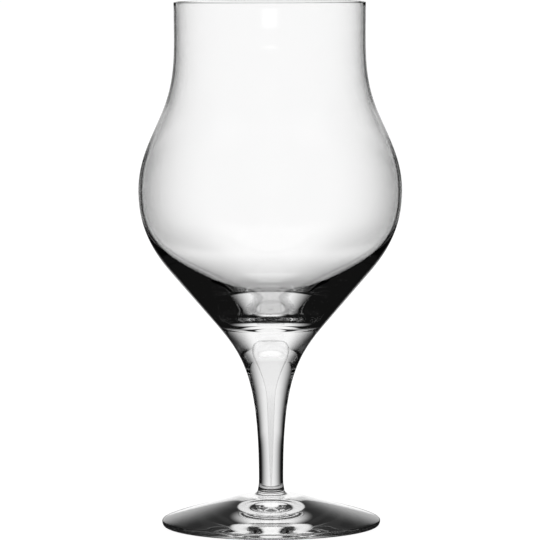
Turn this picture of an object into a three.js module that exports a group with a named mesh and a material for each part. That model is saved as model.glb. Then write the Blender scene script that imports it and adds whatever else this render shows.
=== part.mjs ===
// A stemmed snifter glass of clear glass, in millimetres, +Z up.
// It stands on Z = 0 about the Z axis. The bowl, the drawn stem, the drop enclosed in the stem
// and the foot are separate solids that meet where the hot glass was joined.
import * as THREE from 'three';

// Heights that stack up from the table to the rim
const footHeight = 12.3;
const stemLength = 57.0;
const bellyHeight = 48.5;
const shoulderHeight = 28.1;
const neckHeight = 38.1;

// Outside of the bowl: leans are degrees from upright, pulls are the lengths over which a curve
// keeps its end direction
const rimDiameter = 67.2;
const neckPull = 16.6;
const shoulderDiameter = 75.2;
const shoulderLean = 22.3;
const shoulderPullUp = 13.0;
const shoulderPullDown = 10.1;
const bellyDiameter = 92.4;
const bellyPullUp = 11.4;
const bellyPullDown = 11.5;
const coneTopInset = 11.6;
const coneTopHeight = 19.7;
const coneLean = 40.7;
const coneTopPull = 11.5;
const coneFootHeight = 2.2;

// Inside of the bowl: a thin wall above a thick base, whose shallow floor turns up at a knee
const rimWall = 0.8;
const shoulderWall = 0.9;
const bellyWall = 1.2;
const floorHeight = 6.2;
const floorPull = 3.2;
const kneeHeight = 9.4;
const kneeWall = 8.7;
const kneeSlope = 39.9;
const kneePullIn = 9.5;
const kneePullOut = 17.4;
const sidePull = 22.0;

// Stem, from the foot of the bowl's cone to the joint with the foot
const flarePull = 15.1;
const waistDiameter = 8.6;
const waistHeight = 4.0;
const waistPullUp = 35.8;
const waistPullDown = 2.4;
const seamDiameter = 9.4;
const seamLean = 8.0;
const seamPull = 1.6;

// Drop enclosed in the stem, hanging from the bowl's base
const dropDiameter = 8.6;
const dropCrownDiameter = 4.4;
const dropCrownHeight = 4.5;
const dropTopPull = 1.6;
const dropCrownPull = 2.4;
const dropPull = 5.0;
const tailDiameter = 1.8;
const tailPull = 10.0;
const tailLength = 30.5;
const tipDiameter = 0.4;
const tipHeight = 1.5;
const dropClearance = 0.3;

// Foot
const footDiameter = 76.8;
const collarReach = 6.5;
const collarDrop = 2.0;
const collarPull = 2.5;
const collarSlope = 18.8;
const collarSlopePull = 2.0;
const edgeInset = 3.0;
const edgeHeight = 3.2;
const edgePull = 2.4;
const footSlope = 20.1;
const footSlopePullIn = 5.4;
const footSlopePullOut = 6.4;
const roundHeight = 1.5;
const roundPullUp = 0.6;
const roundPullDown = 0.8;
const contactInset = 0.8;
const contactPull = 0.4;
const contactWidth = 1.2;
const hollowDepth = 2.8;
const hollowRise = 10.7;
const hollowEdgePull = 5.7;
const hollowPull = 16.5;

// Counts of facets
const turns = 48;
const longSteps = 8;
const shortSteps = 4;
const rimSteps = 4;

const seamZ = footHeight;
const jointZ = seamZ + stemLength;
const bellyZ = jointZ + bellyHeight;
const shoulderZ = bellyZ + shoulderHeight;
const rimZ = shoulderZ + neckHeight;

const down = new THREE.Vector2(0, -1);
const up = new THREE.Vector2(0, 1);
const inward = new THREE.Vector2(-1, 0);
const outward = new THREE.Vector2(1, 0);

function point(radius, height) {
  return new THREE.Vector2(radius, height);
}

// Direction of a line that goes down, leaning outward by the given degrees from upright
function downLean(degrees) {
  const angle = THREE.MathUtils.degToRad(degrees);
  return point(Math.sin(angle), -Math.cos(angle));
}

// Direction of a line that goes outward, falling by the given degrees from level
function outSlope(degrees) {
  const angle = THREE.MathUtils.degToRad(degrees);
  return point(Math.cos(angle), -Math.sin(angle));
}

// Points of a smooth stretch from start to end, with a direction and a pull at each
function stretch(start, startDirection, startPull, end, endDirection, endPull, steps) {
  const first = start.clone().addScaledVector(startDirection, startPull);
  const second = end.clone().addScaledVector(endDirection, -endPull);
  return new THREE.CubicBezierCurve(start, first, second, end).getPoints(steps);
}

// One line of points without the repeats where stretches meet
function joinPoints(...stretches) {
  const samePlace = 1e-6;
  const line = [];
  for (const next of stretches.flat()) {
    const last = line[line.length - 1];
    if (!last || last.distanceTo(next) > samePlace) {
      line.push(next);
    }
  }
  return line;
}

// Splits a line of falling points at a height, with the same cut point in both halves
function splitAt(line, height) {
  const below = line.findIndex((p) => p.y < height);
  const high = line[below - 1];
  const low = line[below];
  const cut = high.clone().lerp(low, (high.y - height) / (high.y - low.y));
  cut.y = height;
  return [joinPoints(line.slice(0, below), [cut]), joinPoints([cut], line.slice(below))];
}

const glass = new THREE.MeshStandardMaterial({
  color: 0xf4f7f6, roughness: 0.03, metalness: 0, transparent: true, opacity: 0.35,
});
const satinGlass = new THREE.MeshStandardMaterial({ color: 0xf0f1f0, roughness: 0.45, metalness: 0 });

// A solid turned about the Z axis from a profile of (radius, height) points that runs upward
// on the outside
function turnedSolid(name, profile, material) {
  const geometry = new THREE.LatheGeometry(profile, turns);
  geometry.rotateX(Math.PI / 2);
  const mesh = new THREE.Mesh(geometry, material);
  mesh.name = name;
  return mesh;
}

// Outer line of the cone and the flared stem, from the belly's run-out down to the waist
const coneTop = point(bellyDiameter / 2 - coneTopInset, jointZ + coneTopHeight);
const coneDirection = downLean(-coneLean);

function coneRadius(height) {
  return coneTop.x - (coneTop.y - height) * Math.tan(THREE.MathUtils.degToRad(coneLean));
}

const coneFootZ = jointZ + coneFootHeight;
const coneFoot = point(coneRadius(coneFootZ), coneFootZ);
const waist = point(waistDiameter / 2, seamZ + waistHeight);
const flareLine = stretch(coneFoot, coneDirection, flarePull, waist, down, waistPullUp, 2 * longSteps);
const [flareOfBowl, flareOfStem] = splitAt(flareLine, jointZ);

function bowlOutside() {
  const rimEdge = point(rimDiameter / 2, rimZ - rimWall / 2);
  const shoulder = point(shoulderDiameter / 2, shoulderZ);
  const shoulderDirection = downLean(shoulderLean);
  const belly = point(bellyDiameter / 2, bellyZ);
  return joinPoints(
    stretch(rimEdge, down, neckPull, shoulder, shoulderDirection, shoulderPullUp, longSteps),
    stretch(shoulder, shoulderDirection, shoulderPullDown, belly, down, bellyPullUp, longSteps),
    stretch(belly, down, bellyPullDown, coneTop, coneDirection, coneTopPull, longSteps),
    flareOfBowl,
  );
}

function bowlInside() {
  const floor = point(0, jointZ + floorHeight);
  const kneeZ = jointZ + kneeHeight;
  const knee = point(coneRadius(kneeZ) - kneeWall, kneeZ);
  const kneeDirection = outSlope(-kneeSlope);
  const belly = point(bellyDiameter / 2 - bellyWall, bellyZ);
  const shoulderDirection = downLean(shoulderLean).negate();
  const shoulder = point(
    shoulderDiameter / 2 - shoulderWall * shoulderDirection.y,
    shoulderZ + shoulderWall * shoulderDirection.x,
  );
  const rimEdge = point(rimDiameter / 2 - rimWall, rimZ - rimWall / 2);
  return joinPoints(
    stretch(floor, outward, floorPull, knee, kneeDirection, kneePullIn, longSteps),
    stretch(knee, kneeDirection, kneePullOut, belly, up, sidePull, longSteps),
    stretch(belly, up, bellyPullUp, shoulder, shoulderDirection, shoulderPullDown, longSteps),
    stretch(shoulder, shoulderDirection, shoulderPullUp, rimEdge, up, neckPull, longSteps),
  );
}

// The rim is melted round, from the inner edge over the top to the outer edge
function rimRound() {
  const radius = rimWall / 2;
  const centre = point(rimDiameter / 2 - radius, rimZ - radius);
  return Array.from({ length: rimSteps + 1 }, (_, step) => {
    const angle = Math.PI * (1 - step / rimSteps);
    return point(centre.x + radius * Math.cos(angle), centre.y + radius * Math.sin(angle));
  });
}

function makeBowl() {
  const around = joinPoints(bowlInside(), rimRound(), bowlOutside(), [point(0, jointZ)]);
  return turnedSolid('bowl', around.reverse(), glass);
}

// Outline of the drop from the edge of its flat crown to its tip, grown by a clearance
function dropLine(growth) {
  const tipZ = seamZ + tipHeight;
  const crown = point(dropCrownDiameter / 2 + growth, jointZ);
  const widest = point(dropDiameter / 2 + growth, jointZ - dropCrownHeight);
  const tail = point(tailDiameter / 2 + growth, tipZ + tailLength);
  const tip = point(tipDiameter / 2 + growth, tipZ - growth);
  const tailDirection = new THREE.Vector2().subVectors(tip, tail).normalize();
  return joinPoints(
    stretch(crown, outward, dropTopPull, widest, down, dropCrownPull, shortSteps),
    stretch(widest, down, dropPull, tail, tailDirection, tailPull, longSteps),
    [tip],
  );
}

function makeStem() {
  const seam = point(seamDiameter / 2, seamZ);
  const lowerStem = stretch(
    waist, down, waistPullDown, seam, downLean(seamLean), seamPull, shortSteps,
  );
  const cavity = dropLine(dropClearance);
  const cavityFloor = point(0, cavity[cavity.length - 1].y);
  const outside = joinPoints(flareOfStem, lowerStem, [point(0, seamZ)]);
  const around = joinPoints([cavityFloor], cavity.reverse(), outside);
  return turnedSolid('stem', around.reverse(), glass);
}

function makeDrop() {
  const line = dropLine(0);
  const tipCentre = point(0, line[line.length - 1].y);
  const around = joinPoints([point(0, jointZ)], line, [tipCentre]);
  return turnedSolid('stem_drop', around.reverse(), satinGlass);
}

function makeFoot() {
  const seam = point(seamDiameter / 2, seamZ);
  const collar = point(seamDiameter / 2 + collarReach, seamZ - collarDrop);
  const edge = point(footDiameter / 2 - edgeInset, edgeHeight);
  const widest = point(footDiameter / 2, roundHeight);
  const contactOuter = point(footDiameter / 2 - contactInset, 0);
  const contactInner = point(contactOuter.x - contactWidth, 0);
  const hollow = point(0, hollowDepth);
  const collarDirection = outSlope(collarSlope);
  const edgeDirection = outSlope(footSlope);
  const riseDirection = outSlope(hollowRise).negate();
  const around = joinPoints(
    [point(0, seamZ)],
    stretch(seam, downLean(seamLean), collarPull, collar, collarDirection, collarSlopePull, shortSteps),
    stretch(collar, collarDirection, footSlopePullIn, edge, edgeDirection, footSlopePullOut, longSteps),
    stretch(edge, edgeDirection, edgePull, widest, down, roundPullUp, shortSteps),
    stretch(widest, down, roundPullDown, contactOuter, inward, contactPull, shortSteps),
    stretch(contactInner, riseDirection, hollowEdgePull, hollow, inward, hollowPull, longSteps),
  );
  return turnedSolid('foot', around.reverse(), glass);
}

const snifterGlass = new THREE.Group();
snifterGlass.add(makeBowl(), makeStem(), makeDrop(), makeFoot());

export default snifterGlass;
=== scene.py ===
"""A stemmed snifter glass in a plain white studio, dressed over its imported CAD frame."""
import math

import bpy
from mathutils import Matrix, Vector


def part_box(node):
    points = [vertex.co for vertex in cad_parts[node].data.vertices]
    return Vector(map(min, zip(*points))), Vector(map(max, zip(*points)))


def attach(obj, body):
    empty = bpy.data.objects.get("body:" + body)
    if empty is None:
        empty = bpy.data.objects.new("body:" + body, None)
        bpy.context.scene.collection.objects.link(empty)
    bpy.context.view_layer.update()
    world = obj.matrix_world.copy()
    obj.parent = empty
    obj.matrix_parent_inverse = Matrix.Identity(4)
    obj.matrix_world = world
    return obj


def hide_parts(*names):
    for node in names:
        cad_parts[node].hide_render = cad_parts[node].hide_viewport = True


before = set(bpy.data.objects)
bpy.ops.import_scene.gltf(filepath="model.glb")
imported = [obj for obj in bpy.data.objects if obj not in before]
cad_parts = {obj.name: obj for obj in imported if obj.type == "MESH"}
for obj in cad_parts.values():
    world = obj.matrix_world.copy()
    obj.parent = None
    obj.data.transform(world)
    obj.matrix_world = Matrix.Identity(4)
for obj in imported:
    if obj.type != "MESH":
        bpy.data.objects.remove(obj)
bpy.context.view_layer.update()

MM = 0.001

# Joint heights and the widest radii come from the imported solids, in millimetres
SEAM_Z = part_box("foot")[1].z / MM
JOINT_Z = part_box("stem")[1].z / MM
RIM_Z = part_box("bowl")[1].z / MM
BELLY_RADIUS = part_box("bowl")[1].x / MM
FOOT_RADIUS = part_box("foot")[1].x / MM

# Bowl, outside: leans are degrees from upright, pulls are lengths that keep an end's direction
BELLY_HEIGHT = 48.5
SHOULDER_HEIGHT = 28.1
RIM_RADIUS = 33.6
NECK_PULL = 16.6
SHOULDER_RADIUS = 37.6
SHOULDER_LEAN = 22.3
SHOULDER_PULL_UP = 13.0
SHOULDER_PULL_DOWN = 10.1
BELLY_PULL_UP = 11.4
BELLY_PULL_DOWN = 11.5
CONE_TOP_INSET = 11.6
CONE_TOP_HEIGHT = 19.7
CONE_LEAN = 40.7
CONE_TOP_PULL = 11.5
CONE_FOOT_HEIGHT = 2.2

# Bowl, inside: a thin wall above a thick base, whose shallow floor turns up at a knee
RIM_WALL = 0.8
SHOULDER_WALL = 0.9
BELLY_WALL = 1.2
FLOOR_HEIGHT = 6.2
FLOOR_PULL = 3.2
KNEE_HEIGHT = 9.4
KNEE_WALL = 8.7
KNEE_SLOPE = 39.9
KNEE_PULL_IN = 9.5
KNEE_PULL_OUT = 17.4
SIDE_PULL = 22.0

# Stem
FLARE_PULL = 15.1
WAIST_RADIUS = 4.3
WAIST_HEIGHT = 4.0
WAIST_PULL_UP = 35.8
WAIST_PULL_DOWN = 2.4
SEAM_RADIUS = 4.7
SEAM_LEAN = 8.0
SEAM_PULL = 1.6

# Drop enclosed in the stem
DROP_RADIUS = 4.3
DROP_CROWN_RADIUS = 2.2
DROP_CROWN_HEIGHT = 4.5
DROP_TOP_PULL = 1.6
DROP_CROWN_PULL = 2.4
DROP_PULL = 5.0
TAIL_RADIUS = 0.9
TAIL_PULL = 10.0
TAIL_LENGTH = 30.5
TIP_RADIUS = 0.2
TIP_HEIGHT = 1.5

# Foot
COLLAR_REACH = 6.5
COLLAR_DROP = 2.0
COLLAR_PULL = 2.5
COLLAR_SLOPE = 18.8
COLLAR_SLOPE_PULL = 2.0
EDGE_INSET = 3.0
EDGE_HEIGHT = 3.2
EDGE_PULL = 2.4
FOOT_SLOPE = 20.1
FOOT_SLOPE_PULL_IN = 5.4
FOOT_SLOPE_PULL_OUT = 6.4
ROUND_HEIGHT = 1.5
ROUND_PULL_UP = 0.6
ROUND_PULL_DOWN = 0.8
CONTACT_INSET = 0.8
CONTACT_PULL = 0.4
CONTACT_WIDTH = 1.2
HOLLOW_DEPTH = 2.8
HOLLOW_RISE = 10.7
HOLLOW_EDGE_PULL = 5.7
HOLLOW_PULL = 16.5

# Fineness of the turned surfaces
SEGMENTS = 256
STEPS = 28
RIM_STEPS = 10
CORNER_ANGLE = math.radians(28)

DOWN = Vector((0, -1))
UP = Vector((0, 1))
INWARD = Vector((-1, 0))
OUTWARD = Vector((1, 0))


def point(radius, height):
    return Vector((radius, height))


def down_lean(degrees):
    """Direction of a line that goes down, leaning outward from upright."""
    angle = math.radians(degrees)
    return Vector((math.sin(angle), -math.cos(angle)))


def out_slope(degrees):
    """Direction of a line that goes outward, falling from level."""
    angle = math.radians(degrees)
    return Vector((math.cos(angle), -math.sin(angle)))


def stretch(start, start_direction, start_pull, end, end_direction, end_pull, steps=STEPS):
    """Points of a smooth curve from start to end, with a direction and a pull at each."""
    first = start + start_direction * start_pull
    second = end - end_direction * end_pull
    points = []
    for step in range(steps + 1):
        t = step / steps
        u = 1 - t
        points.append(start * u**3 + first * 3 * u * u * t + second * 3 * u * t * t + end * t**3)
    return points


def join_points(*stretches):
    """One line of points without the repeats where stretches meet."""
    same_place = 1e-6
    line = []
    for part in stretches:
        for p in part:
            if not line or (line[-1] - p).length > same_place:
                line.append(p)
    return line


def split_at(line, height):
    """A falling line cut at a height, with the same cut point in both halves."""
    below = next(i for i, p in enumerate(line) if p.y < height)
    high = line[below - 1]
    low = line[below]
    cut = high.lerp(low, (high.y - height) / (high.y - low.y))
    cut.y = height
    return join_points(line[:below], [cut]), join_points([cut], line[below:])


cone_top = point(BELLY_RADIUS - CONE_TOP_INSET, JOINT_Z + CONE_TOP_HEIGHT)
cone_direction = down_lean(-CONE_LEAN)


def cone_radius(height):
    return cone_top.x - (cone_top.y - height) * math.tan(math.radians(CONE_LEAN))


cone_foot = point(cone_radius(JOINT_Z + CONE_FOOT_HEIGHT), JOINT_Z + CONE_FOOT_HEIGHT)
waist = point(WAIST_RADIUS, SEAM_Z + WAIST_HEIGHT)
seam = point(SEAM_RADIUS, SEAM_Z)
flare = stretch(cone_foot, cone_direction, FLARE_PULL, waist, DOWN, WAIST_PULL_UP, 2 * STEPS)
flare_of_bowl, flare_of_stem = split_at(flare, JOINT_Z)

belly_z = JOINT_Z + BELLY_HEIGHT
shoulder_z = belly_z + SHOULDER_HEIGHT
shoulder_direction = down_lean(SHOULDER_LEAN)


def bowl_line():
    """The bowl's section from the floor inside, over the rim and down the outside."""
    knee_z = JOINT_Z + KNEE_HEIGHT
    knee = point(cone_radius(knee_z) - KNEE_WALL, knee_z)
    knee_direction = out_slope(-KNEE_SLOPE)
    floor = point(0, JOINT_Z + FLOOR_HEIGHT)
    belly_in = point(BELLY_RADIUS - BELLY_WALL, belly_z)
    shoulder_up = -shoulder_direction
    shoulder = point(SHOULDER_RADIUS, shoulder_z)
    shoulder_in = shoulder + SHOULDER_WALL * Vector((-shoulder_up.y, shoulder_up.x))
    rim_in = point(RIM_RADIUS - RIM_WALL, RIM_Z - RIM_WALL / 2)
    rim_out = point(RIM_RADIUS, RIM_Z - RIM_WALL / 2)
    rim_centre = point(RIM_RADIUS - RIM_WALL / 2, RIM_Z - RIM_WALL / 2)
    rim = []
    for step in range(RIM_STEPS + 1):
        angle = math.pi * (1 - step / RIM_STEPS)
        rim.append(rim_centre + RIM_WALL / 2 * Vector((math.cos(angle), math.sin(angle))))
    belly = point(BELLY_RADIUS, belly_z)
    return join_points(
        stretch(floor, OUTWARD, FLOOR_PULL, knee, knee_direction, KNEE_PULL_IN),
        stretch(knee, knee_direction, KNEE_PULL_OUT, belly_in, UP, SIDE_PULL),
        stretch(belly_in, UP, BELLY_PULL_UP, shoulder_in, shoulder_up, SHOULDER_PULL_DOWN),
        stretch(shoulder_in, shoulder_up, SHOULDER_PULL_UP, rim_in, UP, NECK_PULL),
        rim,
        stretch(rim_out, DOWN, NECK_PULL, shoulder, shoulder_direction, SHOULDER_PULL_UP),
        stretch(shoulder, shoulder_direction, SHOULDER_PULL_DOWN, belly, DOWN, BELLY_PULL_UP),
        stretch(belly, DOWN, BELLY_PULL_DOWN, cone_top, cone_direction, CONE_TOP_PULL),
        flare_of_bowl,
        [point(0, JOINT_Z)],
    )


def stem_line():
    """The stem's section from the joint with the bowl down to the joint with the foot."""
    lower = stretch(waist, DOWN, WAIST_PULL_DOWN, seam, down_lean(SEAM_LEAN), SEAM_PULL)
    return join_points([point(0, JOINT_Z)], flare_of_stem, lower, [point(0, SEAM_Z)])


def drop_line():
    """The drop's section from its flat crown to its tip."""
    tip = point(TIP_RADIUS, SEAM_Z + TIP_HEIGHT)
    crown = point(DROP_CROWN_RADIUS, JOINT_Z)
    widest = point(DROP_RADIUS, JOINT_Z - DROP_CROWN_HEIGHT)
    tail = point(TAIL_RADIUS, tip.y + TAIL_LENGTH)
    tail_direction = (tip - tail).normalized()
    return join_points(
        [point(0, crown.y)],
        stretch(crown, OUTWARD, DROP_TOP_PULL, widest, DOWN, DROP_CROWN_PULL),
        stretch(widest, DOWN, DROP_PULL, tail, tail_direction, TAIL_PULL),
        [tip, point(0, tip.y)],
    )


def foot_line():
    """The foot's section from the joint with the stem over its edge to the hollow underneath."""
    collar = point(SEAM_RADIUS + COLLAR_REACH, SEAM_Z - COLLAR_DROP)
    edge = point(FOOT_RADIUS - EDGE_INSET, EDGE_HEIGHT)
    widest = point(FOOT_RADIUS, ROUND_HEIGHT)
    contact_outer = point(FOOT_RADIUS - CONTACT_INSET, 0)
    contact_inner = point(contact_outer.x - CONTACT_WIDTH, 0)
    hollow = point(0, HOLLOW_DEPTH)
    collar_direction = out_slope(COLLAR_SLOPE)
    edge_direction = out_slope(FOOT_SLOPE)
    seam_direction = down_lean(SEAM_LEAN)
    rise_direction = -out_slope(HOLLOW_RISE)
    return join_points(
        [point(0, SEAM_Z)],
        stretch(seam, seam_direction, COLLAR_PULL, collar, collar_direction, COLLAR_SLOPE_PULL),
        stretch(collar, collar_direction, FOOT_SLOPE_PULL_IN, edge, edge_direction, FOOT_SLOPE_PULL_OUT),
        stretch(edge, edge_direction, EDGE_PULL, widest, DOWN, ROUND_PULL_UP),
        stretch(widest, DOWN, ROUND_PULL_DOWN, contact_outer, INWARD, CONTACT_PULL),
        stretch(contact_inner, rise_direction, HOLLOW_EDGE_PULL, hollow, INWARD, HOLLOW_PULL),
    )


class Nodes:
    """Short ways to add shader nodes to one tree."""

    def __init__(self, tree):
        self.tree = tree
        tree.nodes.clear()

    def add(self, kind, **settings):
        node = self.tree.nodes.new(kind)
        for name, value in settings.items():
            setattr(node, name, value)
        return node

    def feed(self, node, socket, value):
        """Links or sets an input, which is given by its name or its number."""
        if isinstance(value, bpy.types.NodeSocket):
            self.tree.links.new(value, node.inputs[socket])
        else:
            node.inputs[socket].default_value = value

    def math(self, operation, first, second=0.0):
        node = self.add("ShaderNodeMath", operation=operation)
        self.feed(node, 0, first)
        self.feed(node, 1, second)
        return node.outputs[0]

    def ramp(self, value, start, end, low=0.0, high=1.0):
        """Rises smoothly from low at start to high at end."""
        node = self.add("ShaderNodeMapRange", interpolation_type="SMOOTHSTEP")
        for number, given in enumerate((value, start, end, low, high)):
            self.feed(node, number, given)
        return node.outputs[0]

    def choose(self, share, without, with_it):
        """The first value at share 0, the second at share 1."""
        node = self.add("ShaderNodeMapRange")
        for number, given in enumerate((share, 0.0, 1.0, without, with_it)):
            self.feed(node, number, given)
        return node.outputs[0]

    def axes(self, vector):
        node = self.add("ShaderNodeSeparateXYZ")
        self.feed(node, 0, vector)
        return node.outputs

    def near_half(self, value, half):
        """1 well inside half, 0.5 at half and 0 well outside it."""
        fade_start = 0.5
        fade_end = 1.5
        return self.ramp(self.math("DIVIDE", value, half), fade_start, fade_end, 1.0, 0.0)

    def at_most(self, depth, count):
        """1 where a whole number is no more than count, else 0."""
        half_way = 0.5
        return self.math("LESS_THAN", depth, count + half_way)

    def ray_kinds(self, light):
        """Rays sorted by how often they were reflected and how many surfaces they passed through.

        A ray through the hollow bowl passes four surfaces, and one through solid glass or a single
        wall passes two.
        """
        return {
            "direct": self.at_most(light["Glossy Depth"], 0),
            "once": self.at_most(light["Glossy Depth"], 1),
            "twice": self.at_most(light["Glossy Depth"], 2),
            "solid": self.at_most(light["Transmission Depth"], 3),
            "outside": self.at_most(light["Transmission Depth"], 0),
        }

    def room(self, rays, angle, mirrored, screen, hollow):
        """What a ray sees: the room through the hollow bowl, the screen through solid glass, or reflections.

        Solid glass sees dark flags beside the screen, and beyond them the white room again.
        """
        beyond = self.ramp(angle, FLAG_END - FLAG_SOFTNESS, FLAG_END + FLAG_SOFTNESS, 0.0, ROOM_LEVEL)
        straight = self.choose(rays["solid"], hollow, self.math("MAXIMUM", screen, beyond))
        return self.choose(rays["direct"], mirrored, straight)

    def end(self, kind, shader):
        """Joins the finished shader to an output node."""
        self.tree.links.new(shader, self.add(kind).inputs["Surface"])


def new_material(name):
    material = bpy.data.materials.new(name)
    material.use_nodes = True
    return material, Nodes(material.node_tree)


WHITE = (1.0, 1.0, 1.0, 1.0)
GLASS_IOR = 1.515
HAZE_SCALE = 60.0
HAZE_DETAIL = 3.0
HAZE_FROM = 0.35
HAZE_TO = 0.75
HAZE_ROUGHNESS = 0.002

# The satin film's alpha falls with height, in metres, and rises towards the drop's edges
SATIN_GREY = (0.25, 0.25, 0.25, 1.0)
SATIN_ROUGHNESS = 0.45
FILM_LOW_Z = 0.025
FILM_HIGH_Z = 0.055
FILM_LOW_ALPHA = 0.12
FILM_HIGH_ALPHA = 0.02
FILM_EDGE_FROM = 0.5
FILM_EDGE_TO = 0.85
FILM_EDGE_ALPHA = 0.32


def make_clear_glass():
    """Clear fire-polished glass, with the faintest patches of haze in its polish."""
    material, nodes = new_material("clear_glass")
    place = nodes.add("ShaderNodeTexCoord").outputs["Object"]
    haze = nodes.add("ShaderNodeTexNoise")
    nodes.feed(haze, "Vector", place)
    nodes.feed(haze, "Scale", HAZE_SCALE)
    nodes.feed(haze, "Detail", HAZE_DETAIL)
    shader = nodes.add("ShaderNodeBsdfPrincipled")
    nodes.feed(shader, "Base Color", WHITE)
    nodes.feed(shader, "Transmission Weight", 1.0)
    nodes.feed(shader, "IOR", GLASS_IOR)
    nodes.feed(shader, "Roughness", nodes.ramp(haze.outputs[0], HAZE_FROM, HAZE_TO, 0.0, HAZE_ROUGHNESS))
    nodes.end("ShaderNodeOutputMaterial", shader.outputs[0])
    return material


def make_fused():
    """The joint faces, where the hot glass has run together and nothing shows."""
    material, nodes = new_material("fused_joint")
    nodes.end("ShaderNodeOutputMaterial", nodes.add("ShaderNodeBsdfTransparent").outputs[0])
    return material


def make_satin_glass():
    """The drop's satin skin inside the stem: a faint grey film, denser at its edges and its tail."""
    material, nodes = new_material("satin_glass")
    facing = nodes.add("ShaderNodeLayerWeight").outputs["Facing"]
    shader = nodes.add("ShaderNodeBsdfPrincipled")
    nodes.feed(shader, "Base Color", SATIN_GREY)
    nodes.feed(shader, "Roughness", SATIN_ROUGHNESS)
    height = nodes.axes(nodes.add("ShaderNodeTexCoord").outputs["Object"])[2]
    film = nodes.ramp(height, FILM_LOW_Z, FILM_HIGH_Z, FILM_LOW_ALPHA, FILM_HIGH_ALPHA)
    alpha = nodes.ramp(facing, FILM_EDGE_FROM, FILM_EDGE_TO, film, FILM_EDGE_ALPHA)
    nodes.feed(shader, "Alpha", alpha)
    nodes.end("ShaderNodeOutputMaterial", shader.outputs[0])
    return material


clear_glass = make_clear_glass()
fused_joint = make_fused()
satin_glass = make_satin_glass()


def turned_piece(name, line, material, joint_heights=()):
    """A closed surface turned about the Z axis from a line that starts and ends on the axis.

    Its flat faces at the joint heights are fused to the next piece.
    """
    same_level = 1e-7
    vertices = [(0, 0, line[0].y * MM)]
    for p in line[1:-1]:
        for turn in range(SEGMENTS):
            angle = 2 * math.pi * turn / SEGMENTS
            vertices.append((p.x * math.cos(angle) * MM, p.x * math.sin(angle) * MM, p.y * MM))
    vertices.append((0, 0, line[-1].y * MM))
    last = len(vertices) - 1
    rings = len(line) - 2
    faces = []
    for turn in range(SEGMENTS):
        after = (turn + 1) % SEGMENTS
        faces.append((0, 1 + turn, 1 + after))
        for ring in range(rings - 1):
            here = 1 + ring * SEGMENTS
            there = here + SEGMENTS
            faces.append((here + turn, there + turn, there + after, here + after))
        base = 1 + (rings - 1) * SEGMENTS
        faces.append((last, base + after, base + turn))
    mesh = bpy.data.meshes.new(name)
    mesh.from_pydata(vertices, [], faces)
    mesh.materials.append(material)
    if joint_heights:
        mesh.materials.append(fused_joint)
    for face in mesh.polygons:
        face.use_smooth = True
        for height in joint_heights:
            if all(abs(mesh.vertices[v].co.z - height * MM) < same_level for v in face.vertices):
                face.material_index = 1
    mesh.set_sharp_from_angle(angle=CORNER_ANGLE)
    piece = bpy.data.objects.new(name, mesh)
    bpy.context.collection.objects.link(piece)
    return piece


bowl = turned_piece("bowl_glass", bowl_line(), clear_glass, (JOINT_Z,))
stem = turned_piece("stem_glass", stem_line(), clear_glass, (JOINT_Z, SEAM_Z))
drop = turned_piece("stem_drop_glass", drop_line(), satin_glass)
foot = turned_piece("foot_glass", foot_line(), clear_glass, (SEAM_Z,))

for piece, node, slot in (
    (bowl, "bowl", "clear_glass"),
    (stem, "stem", "clear_glass"),
    (drop, "stem_drop", "satin_glass"),
    (foot, "foot", "clear_glass"),
):
    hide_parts(node)
    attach(piece, "root")

# Camera, in metres and degrees, a little above the rim and looking slightly down.
# The glass stands half a pixel off the middle of the photograph.
CAMERA_DISTANCE = 1.383
CAMERA_HEIGHT = 0.204
CAMERA_TILT = 4.714
LENS = 263.67
SENSOR = 36.0
CAMERA_ROLL = 0.17
PICTURE_PIXELS = 540
OFF_MIDDLE_PIXELS = 0.5
BOUNCES = 20

camera = bpy.data.cameras.new("camera")
camera.lens = LENS
camera.sensor_width = SENSOR
camera.shift_x = OFF_MIDDLE_PIXELS / PICTURE_PIXELS
camera_object = bpy.data.objects.new("camera", camera)
camera_object.location = (0, -CAMERA_DISTANCE, CAMERA_HEIGHT)
camera_object.rotation_euler = (math.radians(90 - CAMERA_TILT), math.radians(CAMERA_ROLL), 0)
bpy.context.collection.objects.link(camera_object)
scene = bpy.context.scene
scene.camera = camera_object
scene.view_settings.view_transform = "Standard"
scene.cycles.max_bounces = BOUNCES
scene.cycles.transmission_bounces = BOUNCES
scene.cycles.glossy_bounces = BOUNCES
scene.cycles.transparent_max_bounces = BOUNCES

# Studio, as the glass shows it. A level of 1 is white. Angles run from the middle of the screen, and
# distances on the table from the axis of the glass, in metres.

# Room, screen and dark flags, seen straight through the glass
ROOM_LEVEL = 1.12
SCREEN_LEVEL = 0.92
SCREEN_INNER = math.radians(11)
SCREEN_OUTER = math.radians(51)
FLAG_LEVEL = 0.006
FLAG_END = math.radians(82)
FLAG_SOFTNESS = math.radians(6)

# Screen and ceiling, seen by reflected light: narrow at the horizon and wider above.
# Light that is reflected more often sees an even width, and a ceiling that ends sooner.
MIRRORED_LEVEL = 1.0
CEILING_LEVEL = 1.1
HORIZON_HALF = math.radians(9)
SCREEN_HALF = math.radians(22)
SCREEN_RISE = math.radians(9)
TWICE_HALF = math.radians(25.5)
CEILING_HALF = math.radians(38)
CEILING_FROM = math.radians(5)
CEILING_TO = math.radians(50)
CEILING_END = math.radians(130)
DEEP_CEILING_END = math.radians(108)
CEILING_SOFTNESS = math.radians(8)

# Reflections on the outside of the glass, which fade as they look higher
SHEEN_LEVEL = 0.12
SHEEN_FROM = math.radians(11)
SHEEN_TO = math.radians(32)

# Table, seen by reflected light: a lit strip, with a painted shadow of the foot under it
TABLE_HALF = math.radians(17.5)
TABLE_NEAR = 0.25
TABLE_FAR = 0.8
FOOT_SHADOW_LEVEL = 0.02
FOOT_SHADOW_FROM = 0.065
FOOT_SHADOW_TO = 0.045

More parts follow.
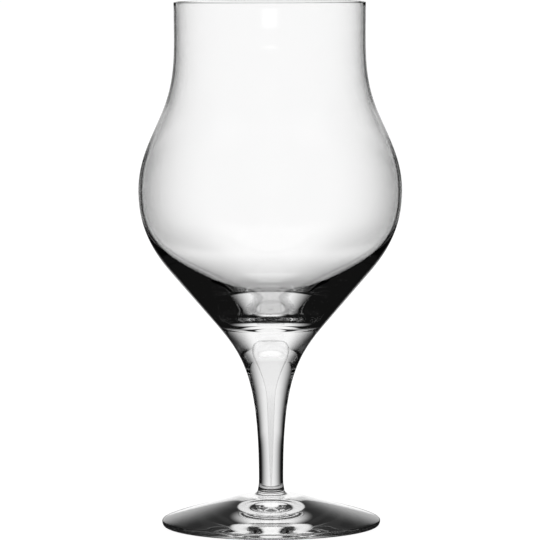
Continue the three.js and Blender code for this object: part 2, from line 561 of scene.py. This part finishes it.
# Table, seen through solid glass: the screen's light, which narrows towards the glass, and white
# under the foot
TABLE_PINCH = math.radians(8)
PINCH_FROM = 0.9
PINCH_TO = 0.12
FOOT_FROM = 0.05
FOOT_TO = 0.04

# Table, seen through the hollow bowl: painted shade near the glass, and painted shade at each side of the
# middle, where the table's glow is dimmed
SHADE_LEVEL = 0.45
SHADE_FROM = 0.35
SHADE_TO = 0.03
OPEN_LEVEL = 1.06
OPEN_FROM = 0.45
OPEN_TO = 1.1
SIDE_SHADE_LEVEL = 0.78
SIDE_SHADE_NEAR = 0.25
SIDE_SHADE_FAR = 0.45
SIDE_SHADE_FADE = 2.0
SIDE_SHADE_GONE = 3.2
SIDE_SHADE_FROM = math.radians(2)
SIDE_SHADE_FULL = math.radians(7)
SIDE_SHADE_FALL = math.radians(8)
SIDE_SHADE_END = math.radians(13)

# White card close behind the mouth, at one side of the screen
CARD_ANGLE = math.radians(45)
CARD_DISTANCE = 0.066
CARD_WIDTH = 0.09
CARD_HEIGHT = 0.052
CARD_MIDDLE = 0.154

# Table as the camera sees it, and the lamp above it
FLOOR_SIZE = 40.0
FLOOR_DROP = 0.0002
FLOOR_GLOW = 0.86
FLOOR_COLOUR = 0.2
LAMP_SIZE = 1.6
LAMP_POWER = 14.0
LAMP_HEIGHT = 1.5

UPRIGHT = math.radians(90)


def make_world():
    """White for the camera, and for the glass the screen, the ceiling, the flags and the room."""
    world = bpy.data.worlds.new("studio")
    scene.world = world
    world.use_nodes = True
    world.cycles.sampling_method = "NONE"
    nodes = Nodes(world.node_tree)
    light = nodes.add("ShaderNodeLightPath").outputs
    rays = nodes.ray_kinds(light)
    x, y, z = nodes.axes(nodes.add("ShaderNodeTexCoord").outputs["Generated"])[:3]
    side = nodes.math("ABSOLUTE", x)
    off_centre = nodes.math("ARCSINE", side)
    rise = nodes.math("ARCTAN2", z, y)
    low_half = nodes.ramp(rise, 0.0, SCREEN_RISE, HORIZON_HALF, SCREEN_HALF)
    once_half = nodes.ramp(rise, CEILING_FROM, CEILING_TO, low_half, CEILING_HALF)
    deep_half = nodes.choose(rays["twice"], SCREEN_HALF, TWICE_HALF)
    half = nodes.choose(rays["once"], deep_half, once_half)
    level = nodes.ramp(rise, 0.0, UPRIGHT, MIRRORED_LEVEL, CEILING_LEVEL)
    end = nodes.choose(rays["once"], DEEP_CEILING_END, CEILING_END)
    past_end = nodes.math("SUBTRACT", rise, end)
    before_end = nodes.ramp(past_end, -CEILING_SOFTNESS, CEILING_SOFTNESS, level, 0.0)
    sheen = nodes.ramp(rise, SHEEN_FROM, SHEEN_TO, 1.0, SHEEN_LEVEL)
    shown = nodes.math("MULTIPLY", before_end, nodes.choose(rays["outside"], 1.0, sheen))
    mirrored = nodes.math("MULTIPLY", nodes.near_half(off_centre, half), shown)
    screen = nodes.ramp(off_centre, SCREEN_INNER, SCREEN_OUTER, SCREEN_LEVEL, 0.0)
    angle = nodes.math("ARCTAN2", side, y)
    seen = nodes.room(rays, angle, mirrored, screen, ROOM_LEVEL)
    background = nodes.add("ShaderNodeBackground")
    nodes.feed(background, "Color", WHITE)
    dimmed = nodes.math("MAXIMUM", seen, FLAG_LEVEL)
    nodes.feed(background, "Strength", nodes.choose(light["Is Camera Ray"], dimmed, 1.0))
    nodes.end("ShaderNodeOutputWorld", background.outputs[0])


def make_table_white():
    """White that keeps a faint shadow. In the glass it glows with painted light and shade: lit behind and
    dark at the sides.
    """
    material, nodes = new_material("white_table")
    light = nodes.add("ShaderNodeLightPath").outputs
    rays = nodes.ray_kinds(light)
    x, y = nodes.axes(nodes.add("ShaderNodeTexCoord").outputs["Object"])[:2]
    angle = nodes.math("ARCTAN2", nodes.math("ABSOLUTE", x), y)
    squares = nodes.math("ADD", nodes.math("MULTIPLY", x, x), nodes.math("MULTIPLY", y, y))
    distance = nodes.math("SQRT", squares)
    far_half = nodes.choose(rays["once"], TABLE_HALF, HORIZON_HALF)
    half = nodes.ramp(distance, TABLE_NEAR, TABLE_FAR, TABLE_HALF, far_half)
    strip = nodes.math("MULTIPLY", nodes.near_half(angle, half), MIRRORED_LEVEL)
    # Painted shadow under the foot, seen in reflections
    mirrored = nodes.ramp(distance, FOOT_SHADOW_TO, FOOT_SHADOW_FROM, FOOT_SHADOW_LEVEL, strip)
    pinched = nodes.math("ADD", angle, nodes.ramp(distance, PINCH_TO, PINCH_FROM, TABLE_PINCH, 0.0))
    behind = nodes.ramp(pinched, SCREEN_INNER, SCREEN_OUTER, SCREEN_LEVEL, 0.0)
    screen = nodes.ramp(distance, FOOT_TO, FOOT_FROM, ROOM_LEVEL, behind)
    open_table = nodes.ramp(distance, OPEN_FROM, OPEN_TO, OPEN_LEVEL, ROOM_LEVEL)
    # Painted shade on the table near the glass
    shaded = nodes.ramp(distance, SHADE_TO, SHADE_FROM, SHADE_LEVEL, open_table)
    # Painted shade at each side of the middle: the table's glow is dimmed there, except close to the glass
    # and far off
    far_side_shade = nodes.ramp(distance, SIDE_SHADE_FADE, SIDE_SHADE_GONE, SIDE_SHADE_LEVEL, 1.0)
    side_shade_level = nodes.ramp(distance, SIDE_SHADE_NEAR, SIDE_SHADE_FAR, 1.0, far_side_shade)
    past_side_shade = nodes.ramp(angle, SIDE_SHADE_FALL, SIDE_SHADE_END, side_shade_level, 1.0)
    hollow = nodes.math("MULTIPLY", shaded, nodes.ramp(angle, SIDE_SHADE_FROM, SIDE_SHADE_FULL, 1.0, past_side_shade))
    seen = nodes.room(rays, angle, mirrored, screen, hollow)
    # The table's glow in the glass is painted light and shade, not light from the lamp
    in_glass = nodes.add("ShaderNodeEmission")
    nodes.feed(in_glass, "Strength", nodes.math("MAXIMUM", seen, FLAG_LEVEL))
    glow = nodes.add("ShaderNodeEmission")
    nodes.feed(glow, "Strength", FLOOR_GLOW)
    matt = nodes.add("ShaderNodeBsdfDiffuse")
    nodes.feed(matt, "Color", (FLOOR_COLOUR, FLOOR_COLOUR, FLOOR_COLOUR, 1.0))
    white = nodes.add("ShaderNodeAddShader")
    nodes.feed(white, 0, glow.outputs[0])
    nodes.feed(white, 1, matt.outputs[0])
    both = nodes.add("ShaderNodeMixShader")
    nodes.feed(both, 0, light["Is Camera Ray"])
    nodes.feed(both, 1, in_glass.outputs[0])
    nodes.feed(both, 2, white.outputs[0])
    nodes.end("ShaderNodeOutputMaterial", both.outputs[0])
    return material


def make_floor():
    """The table, a hair below the foot."""
    bpy.ops.mesh.primitive_plane_add(size=FLOOR_SIZE, location=(0, 0, -FLOOR_DROP))
    floor = bpy.context.object
    floor.name = "table"
    floor.data.materials.append(make_table_white())


def make_card():
    """A white card beside the screen, which only shows through solid glass or a single wall."""
    material, nodes = new_material("white_card")
    rays = nodes.ray_kinds(nodes.add("ShaderNodeLightPath").outputs)
    glow = nodes.add("ShaderNodeEmission")
    nodes.feed(glow, "Strength", ROOM_LEVEL)
    both = nodes.add("ShaderNodeMixShader")
    nodes.feed(both, 0, nodes.math("MULTIPLY", rays["direct"], rays["solid"]))
    nodes.feed(both, 1, nodes.add("ShaderNodeBsdfTransparent").outputs[0])
    nodes.feed(both, 2, glow.outputs[0])
    nodes.end("ShaderNodeOutputMaterial", both.outputs[0])
    place = (-CARD_DISTANCE * math.sin(CARD_ANGLE), CARD_DISTANCE * math.cos(CARD_ANGLE), CARD_MIDDLE)
    turn = (UPRIGHT, 0, CARD_ANGLE)
    bpy.ops.mesh.primitive_plane_add(size=1, location=place, rotation=turn)
    card = bpy.context.object
    card.name = "card"
    card.scale = (CARD_WIDTH, CARD_HEIGHT, 1)
    card.data.materials.append(material)
    card.visible_camera = False
    card.visible_diffuse = False
    card.visible_shadow = False


def make_lamp():
    """A large soft lamp above, which lights the table and doesn't show in the glass."""
    lamp = bpy.data.lights.new("top_lamp", "AREA")
    lamp.shape = "SQUARE"
    lamp.size = LAMP_SIZE
    lamp.energy = LAMP_POWER
    lamp_object = bpy.data.objects.new("top_lamp", lamp)
    lamp_object.location = (0, 0, LAMP_HEIGHT)
    lamp_object.visible_glossy = False
    lamp_object.visible_transmission = False
    bpy.context.collection.objects.link(lamp_object)


make_world()
make_floor()
make_card()
make_lamp()
